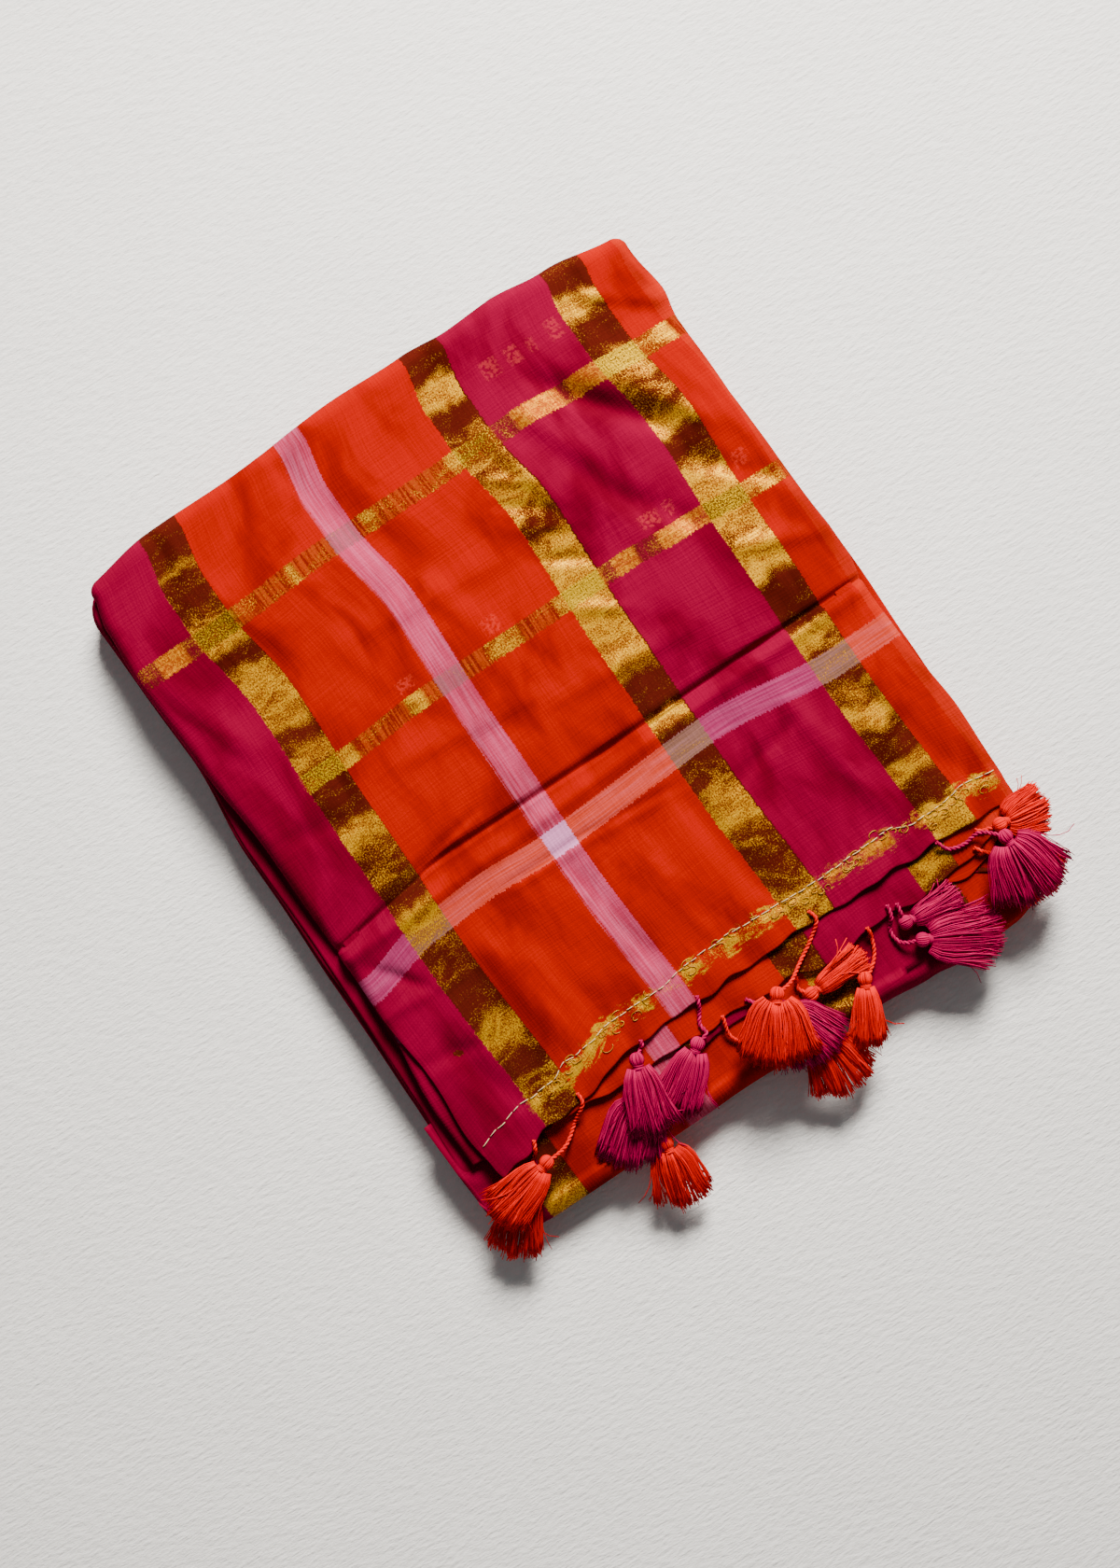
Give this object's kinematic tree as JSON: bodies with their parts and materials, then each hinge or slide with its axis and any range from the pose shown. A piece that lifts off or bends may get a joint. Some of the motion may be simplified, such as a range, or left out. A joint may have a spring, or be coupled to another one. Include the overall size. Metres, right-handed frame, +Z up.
{
  "type": "folded sari",
  "caption": "Cotton sari with woven bands, folded flat for storage, its tasselled end piece on top.",
  "frame": {"origin": "middle of the underside, on the surface the sari lies on", "axes": "+X along the pallu's hem from the looser left side to the right side, +Y from the tasselled hem to the back fold, +Z up"},
  "size_m": [0.3242, 0.393, 0.0413],
  "materials": {
    "bundle_cotton": "matt handloom cotton, crimson and orange",
    "pallu_cotton": "matt handloom cotton, orange and magenta with woven gold-thread bands",
    "tassel_orange": "soft cotton yarn with a slight sheen, orange-red",
    "tassel_magenta": "soft cotton yarn with a slight sheen, magenta"
  },
  "bodies": {
    "root": {"folded_bundle": "bundle_cotton", "pallu_top_ply": "pallu_cotton", "pallu_second_ply": "pallu_cotton", "pallu_third_ply": "pallu_cotton", "tassel_front_left_upper": "tassel_orange", "tassel_front_left_lower": "tassel_orange", "tassel_left_pair_upper": "tassel_magenta", "tassel_left_pair_right": "tassel_magenta", "tassel_left_pair_lower": "tassel_magenta", "tassel_left_pair_hanging": "tassel_orange", "tassel_middle_upper": "tassel_orange", "tassel_middle_second": "tassel_magenta", "tassel_middle_lying": "tassel_orange", "tassel_middle_right": "tassel_orange", "tassel_middle_lowest": "tassel_orange", "tassel_right_pair_front": "tassel_magenta", "tassel_right_pair_back": "tassel_magenta", "tassel_corner_front": "tassel_magenta", "tassel_corner_back": "tassel_orange", "tassel_corner_lower": "tassel_orange"}
  },
  "joints": []
}
